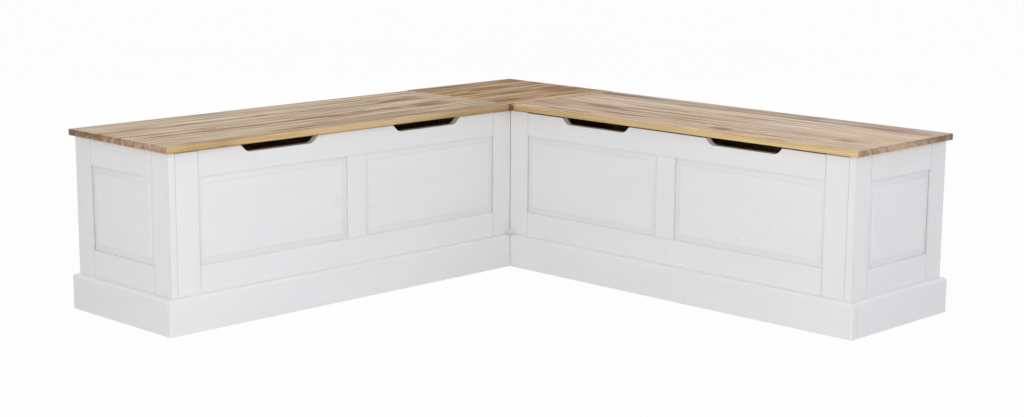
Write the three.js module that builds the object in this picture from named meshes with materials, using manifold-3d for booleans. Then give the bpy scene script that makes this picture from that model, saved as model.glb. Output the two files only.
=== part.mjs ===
// Corner storage bench: two chests in an L, joined by a fixed corner top.
// Millimetres, +Z up. The origin is on the floor, under the middle of the bench's own box.
// The right chest runs along +X from the inner corner, the left chest along -Y.
import * as THREE from 'three';
import { mergeVertices } from 'three/addons/utils/BufferGeometryUtils.js';
import Module from 'manifold-3d';

// Overall sizes
const seatHeight = 450;
const seatDepth = 408;
const armLength = 1123;
const topThickness = 16;
const topFrontOverhang = 20;
const topEndOverhang = 18;
const topEasing = 1.5;
const easingSteps = 2;

// Clearances
const jointGap = 0.3;
const lidEndGap = 2;
const lidRestGap = 2;
const lidFrontGap = 4.6;
const cornerSeamGap = 0.5;
const cutOverrun = 5;

// Framed sides: stiles, rails and muntins
const frameThickness = 18;
const stileWidth = 65;
const muntinWidth = 61;
const topRailWidth = 66;
const bottomRailWidth = 109;
const bottomRailLift = 45;
const grooveWidth = 6.2;
const grooveDepth = 8;
const grooveSet = 5.4;
const tenonClearance = 0.2;

// Raised and fielded panels
const tongueThickness = 6;
const panelExpansionGap = 1.5;
const fieldRecess = 1;
const fieldStep = 1;
const bevelWidth = 17;

// Finger cut-outs in the front top rails
const cutoutFlat = 182;
const cutoutDepth = 18.4;
const cutoutRadius = 24;
const cutoutSpacing = 486;
const cutoutSlope = Math.PI / 4;
const cutoutArcSteps = 6;

// Plinth boards
const plinthHeight = 87;
const plinthThickness = 20;
const plinthRound = 8;
const plinthCornerRound = 3;
const plinthEndGap = 1.5;
const plinthRoundSteps = 5;

// Back, floor and partition
const backRailWidth = 66;
const backBottomRailLift = 45;
const backPanelThickness = 6;
const backGrooveSet = 5.9;
const floorThickness = 9;
const floorTop = 75;
const floorGrooveDepth = 6;
const partitionThickness = 18;

// Lid battens and bumpers
const battenWidth = 45;
const battenHeight = 20;
const battenChamfer = 10;
const battenFrontClearance = 20;
const battenRearClearance = 24;
const battenEndInset = 95;
const bumperLength = 26;
const bumperWidth = 10;
const bumperSeat = 0.05;
const bumperInset = 82;

// Continuous hinge at the back of each lid
const barrelRadius = 3;
const barrelClearance = 0.2;
const hingePinRadius = 1.4;
const pinClearance = 0.1;
const leafThickness = 0.7;
const leafWidth = 12;
const leafSeat = 0.05;
const leafRunningGap = 0.3;
const knuckleEndGap = 0.4;
const hingeEndInset = 26;
const knuckleCount = 21;
const barrelSides = 12;

// Corner unit
const cornerRearProud = 8;
const cornerBackThickness = 9;
const cornerBackLift = 20;
const cornerPostSize = 40;

// Heights and planes of a chest, with its front along +X
const topUnderside = seatHeight - topThickness;
const carcaseTop = topUnderside - lidRestGap;
const frontTop = topUnderside - lidFrontGap;
const frontPlane = topFrontOverhang;
const innerEnd = cornerSeamGap - topFrontOverhang;
const outerEnd = armLength - topEndOverhang;
const endFrameInside = outerEnd - frameThickness;
const frontFrameLength = endFrameInside - jointGap - innerEnd;
const endFrameLength = seatDepth - frontPlane;
const frontInside = frontPlane + frameThickness;
const bottomRailTop = bottomRailLift + bottomRailWidth;
const topRailUnderside = carcaseTop - topRailWidth;
const openingHeight = topRailUnderside - bottomRailTop;
const tenonLength = grooveDepth - jointGap;
const hollowStart = innerEnd + partitionThickness + jointGap;
const hollowLength = endFrameInside - jointGap - hollowStart;
const cornerSupportTop = topUnderside - jointGap;
const benchCentre = (outerEnd + jointGap + plinthThickness - seatDepth - cornerRearProud) / 2;

const quarterTurn = Math.PI / 2;

const whitePaint = new THREE.MeshStandardMaterial({ color: 0xe9e9e7, roughness: 0.5, metalness: 0 });
const whitePanel = new THREE.MeshStandardMaterial({ color: 0xe4e4e3, roughness: 0.55, metalness: 0 });
const waxedPine = new THREE.MeshStandardMaterial({ color: 0xb9986d, roughness: 0.55, metalness: 0 });
const barePine = new THREE.MeshStandardMaterial({ color: 0xcfae7e, roughness: 0.7, metalness: 0 });
const plywood = new THREE.MeshStandardMaterial({ color: 0xc4a67c, roughness: 0.7, metalness: 0 });
const zincSteel = new THREE.MeshStandardMaterial({ color: 0xa9abad, roughness: 0.35, metalness: 1 });
const greyFelt = new THREE.MeshStandardMaterial({ color: 0x77736c, roughness: 0.95, metalness: 0 });

const wasm = await Module();
wasm.setup();

// Solids and the operations on them

function solidFrom(geometry) {
  const bare = geometry.clone();
  bare.deleteAttribute('normal');
  bare.deleteAttribute('uv');
  const merged = mergeVertices(bare);
  return new wasm.Manifold(new wasm.Mesh({
    numProp: 3,
    vertProperties: merged.attributes.position.array,
    triVerts: Uint32Array.from(merged.index.array),
  }));
}

function geometryFrom(solid) {
  const mesh = solid.getMesh();
  const geometry = new THREE.BufferGeometry();
  geometry.setAttribute('position', new THREE.BufferAttribute(Float32Array.from(mesh.vertProperties), 3));
  geometry.setIndex(new THREE.BufferAttribute(Uint32Array.from(mesh.triVerts), 1));
  geometry.computeVertexNormals();
  return geometry;
}

// A block with its low corner at the given place.
function block(length, depth, height, x = 0, y = 0, z = 0) {
  const geometry = new THREE.BoxGeometry(length, depth, height);
  geometry.translate(x + length / 2, y + depth / 2, z + height / 2);
  return solidFrom(geometry);
}

// An outline drawn in X and Y, made thick along Z.
function alongZ(shape, length, curveSegments) {
  const options = { depth: length, bevelEnabled: false, curveSegments };
  return new THREE.ExtrudeGeometry(shape, options);
}

// An outline drawn in X and Z, made thick along Y from 0.
function alongY(shape, length, curveSegments) {
  const geometry = alongZ(shape, length, curveSegments);
  geometry.rotateX(quarterTurn);
  geometry.translate(0, length, 0);
  return geometry;
}

// An outline drawn in Y and Z, made thick along X from 0.
function alongX(shape, length, curveSegments) {
  const geometry = alongZ(shape, length, curveSegments);
  geometry.rotateX(quarterTurn);
  geometry.rotateZ(quarterTurn);
  return geometry;
}

function rectangle(width, height) {
  const shape = new THREE.Shape();
  shape.moveTo(0, 0);
  shape.lineTo(width, 0);
  shape.lineTo(width, height);
  shape.lineTo(0, height);
  shape.closePath();
  return shape;
}

// A rectangle whose corner at (width, height) is round.
function roundedRectangle(width, height, radius) {
  const shape = new THREE.Shape();
  shape.moveTo(0, 0);
  shape.lineTo(width, 0);
  shape.lineTo(width, height - radius);
  shape.absarc(width - radius, height - radius, radius, 0, quarterTurn, false);
  shape.lineTo(0, height);
  shape.closePath();
  return shape;
}

function piece(name, solid, material, x, y, z) {
  const mesh = new THREE.Mesh(geometryFrom(solid), material);
  mesh.name = name;
  mesh.position.set(x, y, z);
  return mesh;
}

// Framed sides. Each member lies along its frame: X along the side, Y from its outer face inwards.

function uprightGroove(height, x, z) {
  return block(grooveDepth + cutOverrun, grooveWidth, height + 2 * cutOverrun, x, grooveSet, z - cutOverrun);
}

function levelGroove(length, x, z) {
  return block(length + 2 * cutOverrun, grooveWidth, grooveDepth + cutOverrun, x - cutOverrun, grooveSet, z);
}

function stile(height, grooveSide) {
  const board = block(stileWidth, frameThickness, height);
  const grooveStart = grooveSide === 'high' ? stileWidth - grooveDepth : -cutOverrun;
  return board.subtract(uprightGroove(height, grooveStart, 0));
}

// The stub tenon that a rail or muntin sends into a groove.
function tenon(length, height, x, z) {
  const thickness = grooveWidth - tenonClearance;
  return block(length, thickness, height, x, grooveSet + tenonClearance / 2, z);
}

function railOutline(length, height, cutouts) {
  const shape = new THREE.Shape();
  shape.moveTo(0, 0);
  shape.lineTo(length, 0);
  shape.lineTo(length, height);
  const arcRun = cutoutRadius * Math.sin(cutoutSlope);
  const arcRise = cutoutRadius * (1 - Math.cos(cutoutSlope));
  const slopeRun = (cutoutDepth - arcRise) / Math.tan(cutoutSlope);
  const arcHeight = height - cutoutDepth + cutoutRadius;
  const down = -quarterTurn;
  for (const centre of [...cutouts].reverse()) {
    const flatEnd = centre + cutoutFlat / 2;
    const flatStart = centre - cutoutFlat / 2;
    shape.lineTo(flatEnd + arcRun + slopeRun, height);
    shape.absarc(flatEnd, arcHeight, cutoutRadius, down + cutoutSlope, down, true);
    shape.absarc(flatStart, arcHeight, cutoutRadius, down, down - cutoutSlope, true);
    shape.lineTo(flatStart - arcRun - slopeRun, height);
  }
  shape.lineTo(0, height);
  shape.closePath();
  return shape;
}

// A rail between two stiles, with a stub tenon at each end. Its panel groove is in its top or bottom edge.
function rail(length, height, grooveEdge, cutouts) {
  const outline = railOutline(length, height, cutouts);
  const board = solidFrom(alongY(outline, frameThickness, cutoutArcSteps));
  const lowTenon = tenon(2 * tenonLength, height, -tenonLength, 0);
  const highTenon = tenon(2 * tenonLength, height, length - tenonLength, 0);
  const grooveStart = grooveEdge === 'top' ? height - grooveDepth : -cutOverrun;
  const groove = levelGroove(length + 2 * tenonLength, -tenonLength, grooveStart);
  return board.add(lowTenon).add(highTenon).subtract(groove);
}

function muntin() {
  const height = openingHeight - 2 * jointGap;
  const board = block(muntinWidth, frameThickness, height);
  const bothTenons = tenon(muntinWidth, height + 2 * tenonLength, 0, -tenonLength);
  const fullHeight = height + 2 * tenonLength;
  const lowGroove = uprightGroove(fullHeight, -cutOverrun, -tenonLength);
  const highGroove = uprightGroove(fullHeight, muntinWidth - grooveDepth, -tenonLength);
  return board.add(bothTenons).subtract(lowGroove).subtract(highGroove);
}

// Section of a raised panel: a flat back, a tongue at each edge, a bevel and a stepped field.
function panelSection(width) {
  const tongueFront = grooveSet + (grooveWidth - tongueThickness) / 2 - fieldRecess;
  const thickness = tongueFront + tongueThickness;
  const tongueLand = grooveDepth - panelExpansionGap;
  const fieldEdge = tongueLand + bevelWidth;
  const shape = new THREE.Shape();
  shape.moveTo(0, thickness);
  shape.lineTo(0, tongueFront);
  shape.lineTo(tongueLand, tongueFront);
  shape.lineTo(fieldEdge, fieldStep);
  shape.lineTo(fieldEdge, 0);
  shape.lineTo(width - fieldEdge, 0);
  shape.lineTo(width - fieldEdge, fieldStep);
  shape.lineTo(width - tongueLand, tongueFront);
  shape.lineTo(width, tongueFront);
  shape.lineTo(width, thickness);
  shape.closePath();
  return shape;
}

// The bevels meet in mitres because the panel is common to an upright and a level run of one section.
function raisedPanel(width, height) {
  const upright = alongZ(panelSection(width), height);
  const level = alongZ(panelSection(height), width);
  level.rotateY(-quarterTurn);
  level.translate(width, 0, 0);
  return solidFrom(upright).intersect(solidFrom(level));
}

function panelSpan(opening) {
  return opening + 2 * (grooveDepth - panelExpansionGap);
}

// The groove that takes the floor's front tongue, in the inner face of the bottom rail.
function floorGroove(length) {
  const low = floorTop - floorThickness - tenonClearance - bottomRailLift;
  const fullLength = length + 2 * (tenonLength + cutOverrun);
  const depth = floorGrooveDepth + cutOverrun;
  const height = floorThickness + 2 * tenonClearance;
  return block(fullLength, depth, height, -tenonLength - cutOverrun, frameThickness - floorGrooveDepth, low);
}

// A framed side with its members and panels, seen along its own +Y.
function framedSide(names, length, height, cutouts) {
  const group = new THREE.Group();
  const railLength = length - 2 * stileWidth - 2 * jointGap;
  const railStart = stileWidth + jointGap;
  const panelCount = names.panels.length;
  const openingWidth = (length - 2 * stileWidth - names.muntins.length * muntinWidth) / panelCount;
  const topRailHeight = height - topRailUnderside;
  const topRail = rail(railLength, topRailHeight, 'bottom', cutouts.map((place) => place - railStart));
  const plainBottomRail = rail(railLength, bottomRailWidth, 'top', []);
  const bottomRail = names.holdsFloor ? plainBottomRail.subtract(floorGroove(railLength)) : plainBottomRail;
  group.add(
    piece(names.lowStile, stile(height, 'high'), whitePaint, 0, 0, 0),
    piece(names.highStile, stile(height, 'low'), whitePaint, length - stileWidth, 0, 0),
    piece(names.topRail, topRail, whitePaint, railStart, 0, topRailUnderside),
    piece(names.bottomRail, bottomRail, whitePaint, railStart, 0, bottomRailLift),
  );
  const panelWidth = panelSpan(openingWidth);
  const panelHeight = panelSpan(openingHeight);
  const tongueLand = grooveDepth - panelExpansionGap;
  names.panels.forEach((name, index) => {
    const start = stileWidth + index * (openingWidth + muntinWidth) - tongueLand;
    const panel = raisedPanel(panelWidth, panelHeight);
    group.add(piece(name, panel, whitePanel, start, fieldRecess, bottomRailTop - tongueLand));
  });
  names.muntins.forEach((name, index) => {
    const start = stileWidth + openingWidth + index * (openingWidth + muntinWidth);
    group.add(piece(name, muntin(), whitePaint, start, 0, bottomRailTop + jointGap));
  });
  return group;
}

// Plinth

// A plinth board with its outer face at Y = 0 and its upper outer edge rounded.
function plinthBoard(length) {
  const outline = roundedRectangle(plinthThickness, plinthHeight, plinthRound);
  const section = alongX(outline, length, plinthRoundSteps);
  section.scale(-1, -1, 1);
  section.translate(length, plinthThickness, 0);
  return solidFrom(section);
}

// The front board turns the corner, so its free end is rounded in plan and along its upper edge too.
function frontPlinthBoard(length) {
  const planOutline = roundedRectangle(length, plinthThickness, plinthCornerRound);
  const plan = alongZ(planOutline, plinthHeight, plinthRoundSteps);
  plan.rotateX(2 * quarterTurn);
  plan.translate(0, plinthThickness, plinthHeight);
  const endView = roundedRectangle(length, plinthHeight, plinthRound);
  const end = alongY(endView, plinthThickness, plinthRoundSteps);
  return plinthBoard(length).intersect(solidFrom(plan)).intersect(solidFrom(end));
}

// Tops

function easedBoard(length, depth) {
  const geometry = new THREE.ExtrudeGeometry(rectangle(length, depth), {
    depth: topThickness - 2 * topEasing,
    bevelEnabled: true,
    bevelThickness: topEasing,
    bevelSize: topEasing,
    bevelOffset: -topEasing,
    bevelSegments: easingSteps,
  });
  geometry.translate(0, 0, topEasing);
  return solidFrom(geometry);
}

function batten() {
  const start = frontInside + battenFrontClearance;
  const length = seatDepth - frameThickness - battenRearClearance - start;
  const shape = new THREE.Shape();
  shape.moveTo(0, battenHeight);
  shape.lineTo(0, battenChamfer);
  shape.lineTo(battenChamfer, 0);
  shape.lineTo(length - battenChamfer, 0);
  shape.lineTo(length, battenChamfer);
  shape.lineTo(length, battenHeight);
  shape.closePath();
  return solidFrom(alongX(shape, battenWidth));
}

function bumper(gap) {
  const height = gap - 2 * bumperSeat;
  return block(bumperLength, bumperWidth, height, -bumperLength / 2, -bumperWidth / 2);
}

// Continuous hinge. Its axis is along X through its own origin, and both leaves reach towards -Y.

const hingeLength = hollowLength - 2 * hingeEndInset;
const knucklePitch = hingeLength / knuckleCount;
const leafStart = barrelRadius + leafRunningGap;
const leafInnerFace = lidRestGap / 2 - leafSeat - leafThickness;

function knuckle(index) {
  const bore = hingePinRadius / Math.cos(Math.PI / barrelSides) + pinClearance;
  const length = knucklePitch - knuckleEndGap;
  const ring = [[bore, 0], [barrelRadius, 0], [barrelRadius, length], [bore, length], [bore, 0]];
  const points = ring.map(([radius, place]) => new THREE.Vector2(radius, place));
  const geometry = new THREE.LatheGeometry(points, barrelSides);
  geometry.rotateZ(-quarterTurn);
  geometry.translate(index * knucklePitch + knuckleEndGap / 2, 0, 0);
  return solidFrom(geometry);
}

// The lower leaf has the even knuckles, so it also holds both ends of the pin.
function hingeLeaf(firstKnuckle, side) {
  const low = side === 'upper' ? leafInnerFace : -leafInnerFace - leafThickness;
  const rootStart = (barrelRadius + hingePinRadius) / 2;
  let leaf = block(hingeLength, leafWidth, leafThickness, 0, -leafStart - leafWidth, low);
  for (let index = firstKnuckle; index < knuckleCount; index += 2) {
    const start = index * knucklePitch + knuckleEndGap / 2;
    const rootDepth = leafStart + leafRunningGap - rootStart;
    const length = knucklePitch - knuckleEndGap;
    const root = block(length, rootDepth, leafThickness, start, -leafStart - leafRunningGap, low);
    leaf = leaf.add(root).add(knuckle(index));
  }
  return leaf;
}

function hingePin() {
  const geometry = new THREE.CylinderGeometry(hingePinRadius, hingePinRadius, hingeLength, barrelSides);
  geometry.rotateZ(quarterTurn);
  geometry.translate(hingeLength / 2, 0, 0);
  return solidFrom(geometry);
}

// One chest, with its front along +X, its lid's front edge on Y = 0 and its inner end near X = 0

function chestFront(side) {
  const frameCentre = frontFrameLength / 2;
  const cutouts = [frameCentre - cutoutSpacing / 2, frameCentre + cutoutSpacing / 2];
  const names = {
    lowStile: `${side}_front_inner_stile`,
    highStile: `${side}_front_outer_stile`,
    topRail: `${side}_front_top_rail`,
    bottomRail: `${side}_front_bottom_rail`,
    panels: [`${side}_front_inner_panel`, `${side}_front_outer_panel`],
    muntins: [`${side}_front_muntin`],
    holdsFloor: true,
  };
  const front = framedSide(names, frontFrameLength, frontTop, cutouts);
  front.position.set(innerEnd, frontPlane, 0);
  return front;
}

function chestEnd(side) {
  const names = {
    lowStile: `${side}_end_front_stile`,
    highStile: `${side}_end_rear_stile`,
    topRail: `${side}_end_top_rail`,
    bottomRail: `${side}_end_bottom_rail`,
    panels: [`${side}_end_panel`],
    muntins: [],
    holdsFloor: false,
  };
  const end = framedSide(names, endFrameLength, carcaseTop, []);
  end.position.set(outerEnd, frontPlane, 0);
  end.rotation.z = quarterTurn;
  return end;
}

function chestBack(side) {
  const group = new THREE.Group();
  const grooveThickness = backPanelThickness + tenonClearance;
  const groove = (z) => {
    const length = hollowLength + 2 * cutOverrun;
    const depth = grooveDepth + cutOverrun;
    return block(length, grooveThickness, depth, -cutOverrun, backGrooveSet, z);
  };
  const railPlane = seatDepth - frameThickness;
  const topRail = block(hollowLength, frameThickness, backRailWidth).subtract(groove(-cutOverrun));
  const floorCut = block(
    hollowLength + 2 * cutOverrun,
    floorGrooveDepth + cutOverrun,
    floorThickness + 2 * tenonClearance,
    -cutOverrun,
    -cutOverrun,
    floorTop - floorThickness - tenonClearance - backBottomRailLift,
  );
  const bottomBoard = block(hollowLength, frameThickness, backRailWidth);
  const bottomRail = bottomBoard.subtract(groove(backRailWidth - grooveDepth)).subtract(floorCut);
  const backOpening = carcaseTop - 2 * backRailWidth - backBottomRailLift;
  const panel = block(hollowLength, backPanelThickness, panelSpan(backOpening));
  const panelLow = backBottomRailLift + backRailWidth - grooveDepth + panelExpansionGap;
  const panelPlane = railPlane + backGrooveSet + tenonClearance / 2;
  group.add(
    piece(`${side}_back_top_rail`, topRail, whitePaint, hollowStart, railPlane, carcaseTop - backRailWidth),
    piece(`${side}_back_bottom_rail`, bottomRail, whitePaint, hollowStart, railPlane, backBottomRailLift),
    piece(`${side}_back_panel`, panel, plywood, hollowStart, panelPlane, panelLow),
  );
  return group;
}

// The floor board has a tongue in the front rail, between the stiles, and one in the back rail.
function chestFloor(side) {
  const start = frontInside + jointGap;
  const depth = seatDepth - frameThickness - jointGap - start;
  const tongue = floorGrooveDepth - jointGap;
  const frontTongueStart = innerEnd + stileWidth + 2 * jointGap - hollowStart;
  const frontTongueLength = frontFrameLength - 2 * stileWidth - 4 * jointGap;
  const board = block(hollowLength, depth, floorThickness);
  const frontTongue = block(
    frontTongueLength,
    tongue + 2 * jointGap,
    floorThickness,
    frontTongueStart,
    -tongue - jointGap,
  );
  const rearTongue = block(hollowLength, tongue + 2 * jointGap, floorThickness, 0, depth - jointGap);
  const floor = board.add(frontTongue).add(rearTongue);
  return piece(`${side}_floor_panel`, floor, plywood, hollowStart, start, floorTop - floorThickness);
}

function chestPlinth(side) {
  const group = new THREE.Group();
  const outerFace = outerEnd + jointGap + plinthThickness;
  const frontFace = frontPlane - jointGap - plinthThickness;
  const front = frontPlinthBoard(outerFace - plinthEndGap);
  group.add(piece(`${side}_plinth_front`, front, whitePaint, plinthEndGap, frontFace, 0));
  const endBoard = plinthBoard(endFrameLength);
  const end = piece(`${side}_plinth_end`, endBoard, whitePaint, outerFace, frontPlane, 0);
  end.rotation.z = quarterTurn;
  group.add(end);
  return group;
}

function chestLid(side) {
  const group = new THREE.Group();
  const length = armLength - lidEndGap;
  group.add(piece(`${side}_lid`, easedBoard(length, seatDepth), waxedPine, lidEndGap, 0, topUnderside));
  const battenLow = topUnderside - jointGap - battenHeight;
  const battenFront = frontInside + battenFrontClearance;
  const innerPlace = hollowStart + battenEndInset;
  const outerPlace = hollowStart + hollowLength - battenEndInset - battenWidth;
  group.add(
    piece(`${side}_lid_inner_batten`, batten(), barePine, innerPlace, battenFront, battenLow),
    piece(`${side}_lid_outer_batten`, batten(), barePine, outerPlace, battenFront, battenLow),
  );
  return group;
}

function chestHinge(side) {
  const group = new THREE.Group();
  group.add(
    piece(`${side}_hinge_carcase_leaf`, hingeLeaf(0, 'lower'), zincSteel, 0, 0, 0),
    piece(`${side}_hinge_lid_leaf`, hingeLeaf(1, 'upper'), zincSteel, 0, 0, 0),
    piece(`${side}_hinge_pin`, hingePin(), zincSteel, 0, 0, 0),
  );
  const axisHeight = carcaseTop + lidRestGap / 2;
  group.position.set(hollowStart + hingeEndInset, seatDepth + barrelClearance + barrelRadius, axisHeight);
  return group;
}

// Two bumpers fill the gap over the front, and a thinner one lies on the end frame.
function chestBumpers(side) {
  const group = new THREE.Group();
  const middle = frontPlane + frameThickness / 2;
  const places = { inner: bumperInset, middle: frontFrameLength / 2 };
  for (const [place, x] of Object.entries(places)) {
    const name = `${side}_${place}_bumper`;
    group.add(piece(name, bumper(lidFrontGap), greyFelt, innerEnd + x, middle, frontTop + bumperSeat));
  }
  const endMiddle = outerEnd - frameThickness / 2;
  const stileMiddle = frontPlane + stileWidth / 2;
  const outer = piece(
    `${side}_outer_bumper`, bumper(lidRestGap), greyFelt, endMiddle, stileMiddle, carcaseTop + bumperSeat,
  );
  outer.rotation.z = quarterTurn;
  group.add(outer);
  return group;
}

function chestPartition(side) {
  const start = frontInside + jointGap;
  const board = block(partitionThickness, seatDepth - start, cornerSupportTop);
  return piece(`${side}_partition`, board, barePine, innerEnd, start, 0);
}

function chest(side) {
  const group = new THREE.Group();
  group.add(
    chestFront(side),
    chestEnd(side),
    chestBack(side),
    chestFloor(side),
    chestPartition(side),
    chestPlinth(side),
    chestLid(side),
    chestHinge(side),
    chestBumpers(side),
  );
  return group;
}

// The left chest is the right one's mirror image across the XZ plane, turned to run along -Y.
function mirrorInY(group) {
  group.traverse((object) => {
    object.position.y *= -1;
    object.rotation.z *= -1;
    if (object.isMesh) {
      object.geometry.scale(1, -1, 1);
      const index = object.geometry.index.array;
      for (let corner = 0; corner < index.length; corner += 3) {
        [index[corner + 1], index[corner + 2]] = [index[corner + 2], index[corner + 1]];
      }
      object.geometry.computeVertexNormals();
    }
  });
}

// Corner unit: a fixed square top over two back panels and a post

function cornerUnit() {
  const group = new THREE.Group();
  const topSize = seatDepth + cornerRearProud;
  const sideStart = innerEnd - jointGap;
  const backHeight = cornerSupportTop - cornerBackLift;
  const rightLength = seatDepth + sideStart;
  const leftLength = rightLength - cornerBackThickness - jointGap;
  const backPlane = seatDepth - cornerBackThickness;
  const postPlace = backPlane - jointGap - cornerPostSize;
  const rightBack = block(rightLength, cornerBackThickness, backHeight);
  const leftBack = block(cornerBackThickness, leftLength, backHeight);
  const post = block(cornerPostSize, cornerPostSize, cornerSupportTop);
  group.add(
    piece('corner_top', easedBoard(topSize, topSize), waxedPine, -topSize, 0, topUnderside),
    piece('corner_back_right', rightBack, plywood, -seatDepth, backPlane, cornerBackLift),
    piece('corner_back_left', leftBack, plywood, -seatDepth, -sideStart, cornerBackLift),
    piece('corner_post', post, barePine, -postPlace - cornerPostSize, postPlace, 0),
  );
  return group;
}

const rightChest = chest('right');
const leftChest = chest('left');
mirrorInY(leftChest);
leftChest.rotation.z = -quarterTurn;

const bench = new THREE.Group();
bench.name = 'corner_storage_bench';
bench.add(rightChest, leftChest, cornerUnit());
bench.position.set(-benchCentre, benchCentre, 0);

export default bench;
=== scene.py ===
import math

import bmesh
import bpy
from mathutils import Matrix, Vector


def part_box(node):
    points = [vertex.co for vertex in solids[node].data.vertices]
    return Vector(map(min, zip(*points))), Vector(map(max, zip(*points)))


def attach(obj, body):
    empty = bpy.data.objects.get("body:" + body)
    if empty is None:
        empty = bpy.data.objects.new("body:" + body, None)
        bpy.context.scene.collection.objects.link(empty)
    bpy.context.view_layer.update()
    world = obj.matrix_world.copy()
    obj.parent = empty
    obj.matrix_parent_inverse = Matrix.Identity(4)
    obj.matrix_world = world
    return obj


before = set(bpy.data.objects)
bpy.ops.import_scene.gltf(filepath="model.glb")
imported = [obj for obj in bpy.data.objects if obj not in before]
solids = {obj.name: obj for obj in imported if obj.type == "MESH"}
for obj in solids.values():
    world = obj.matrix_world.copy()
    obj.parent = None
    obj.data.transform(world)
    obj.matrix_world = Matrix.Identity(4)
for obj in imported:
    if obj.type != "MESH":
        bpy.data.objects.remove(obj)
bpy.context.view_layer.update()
print("bench frame loaded,", len(solids), "solids")


# Small helpers for node trees. A value is a number, a colour or another node's socket.


def feed(socket, value):
    if isinstance(value, bpy.types.NodeSocket):
        socket.id_data.links.new(value, socket)
    elif value is not None:
        plain = socket.type == "VECTOR" and hasattr(value, "__len__")
        socket.default_value = value[:3] if plain else value


def makeNode(tree, kind, *values, **settings):  # the values go to the node's first sockets
    node = tree.nodes.new(kind)
    for key, value in settings.items():
        setattr(node, key, value)
    for socket, value in zip(node.inputs, values):
        feed(socket, value)
    return node


def treeOf(*values):
    return next(value.id_data for value in values if isinstance(value, bpy.types.NodeSocket))


def mathMaker(operation):  # gives a function that adds one kind of math node
    def addMath(*values, clamp=False):
        node = makeNode(treeOf(*values), "ShaderNodeMath", *values, operation=operation, use_clamp=clamp)
        return node.outputs["Value"]

    return addMath


plus, minus, times, over, timesPlus = map(mathMaker, ("ADD", "SUBTRACT", "MULTIPLY", "DIVIDE", "MULTIPLY_ADD"))
power, larger, smaller, absolute = map(mathMaker, ("POWER", "MAXIMUM", "MINIMUM", "ABSOLUTE"))
exponent, fraction, floored, root = map(mathMaker, ("EXPONENT", "FRACT", "FLOOR", "SQRT"))
below, above = map(mathMaker, ("LESS_THAN", "GREATER_THAN"))


def summed(total, shares, masks):
    for share, mask in zip(shares, masks):
        total = timesPlus(mask, share, total)
    return total


def squaresSum(first, second):
    return plus(power(first, 2.0), power(second, 2.0))


def vectorCalc(operation, *values, output="Vector"):
    return makeNode(treeOf(*values), "ShaderNodeVectorMath", *values, operation=operation).outputs[output]


def scaled(vector, factor):
    return vectorCalc("SCALE", vector, None, None, factor)


def split(vector):
    outputs = makeNode(treeOf(vector), "ShaderNodeSeparateXYZ", vector).outputs
    return outputs[0], outputs[1], outputs[2]


def gathered(*values):
    return makeNode(treeOf(*values), "ShaderNodeCombineXYZ", *values).outputs[0]


def ramped(value, low, high, toLow=0.0, toHigh=1.0):
    values = (value, low, high, toLow, toHigh)
    node = makeNode(treeOf(value), "ShaderNodeMapRange", *values, interpolation_type="SMOOTHSTEP")
    return node.outputs["Result"]


def faded(value, low, high):  # 1 up to low, 0 from high on
    return ramped(value, low, high, 1.0, 0.0)


def blended(factor, first, second, way="MIX"):
    node = makeNode(treeOf(factor, first, second), "ShaderNodeMix", data_type="RGBA", blend_type=way)
    for index, given in ((0, factor), (6, first), (7, second)):
        feed(node.inputs[index], given)
    return node.outputs[2]


def tinted(colour, tint):
    return blended(1.0, colour, tint, way="MULTIPLY")


def dimmed(colour, mask, amount):  # darkens colour by amount where mask is 1
    return scaled(colour, timesPlus(mask, -amount, 1.0))


def deepened(colour, mask, amount, tint):  # multiplies colour by tint, by amount where mask is 1
    return blended(times(mask, amount), colour, tinted(colour, tint))


def noisy(point, stretch, seed=0.0, detail=2.0, roughness=0.5, colour=False):
    values = (vectorCalc("MULTIPLY", point, stretch), seed, 1.0, detail, roughness)
    node = makeNode(treeOf(point), "ShaderNodeTexNoise", *values, noise_dimensions="4D")
    return node.outputs[1 if colour else 0]


def objectPlace(tree):
    return makeNode(tree, "ShaderNodeTexCoord").outputs["Object"]


def meshValue(tree, name):  # what the grain modifier wrote on the mesh
    return makeNode(tree, "ShaderNodeAttribute", attribute_name=name).outputs["Vector"]


def startGroup(name, takes, gives, kind="ShaderNodeTree"):  # takes: None stands for a vector
    group = bpy.data.node_groups.new(name, kind)
    if kind == "GeometryNodeTree":
        for way in ("INPUT", "OUTPUT"):
            group.interface.new_socket(name="Geometry", in_out=way, socket_type="NodeSocketGeometry")
    for label, value in takes.items():
        socketType = "NodeSocketVector" if value is None else "NodeSocketFloat"
        socket = group.interface.new_socket(name=label, in_out="INPUT", socket_type=socketType)
        if value is not None:
            socket.default_value = value
    for label in gives:
        group.interface.new_socket(name=label, in_out="OUTPUT", socket_type="NodeSocketFloat")
    return group, makeNode(group, "NodeGroupInput").outputs, makeNode(group, "NodeGroupOutput").inputs


def useGroup(tree, group, **values):
    node = makeNode(tree, "ShaderNodeGroup", node_tree=group, label=group.name)
    for key, value in values.items():
        feed(node.inputs[key], value)
    return node.outputs


def spreadOut(tree, gap=(230, 190)):  # puts the nodes in columns, by how far each is from the end
    depth = {}

    def visit(node, level):
        if depth.get(node.name, -1) >= level:
            return
        depth[node.name] = level
        for socket in node.inputs:
            for wire in socket.links:
                visit(wire.from_node, level + 1)

    for node in tree.nodes:
        if not any(socket.is_linked for socket in node.outputs):
            visit(node, 0)
    rows = {}
    for node in tree.nodes:
        level = depth.get(node.name, 0)
        node.location = (-gap[0] * level, -gap[1] * rows.get(level, 0))
        rows[level] = rows.get(level, 0) + 1


# Effects that several finishes share. A stretch is how often a noise repeats in a metre
# along, across and through the grain, and a cut is the part of it that goes from 0 to 1.

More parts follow.
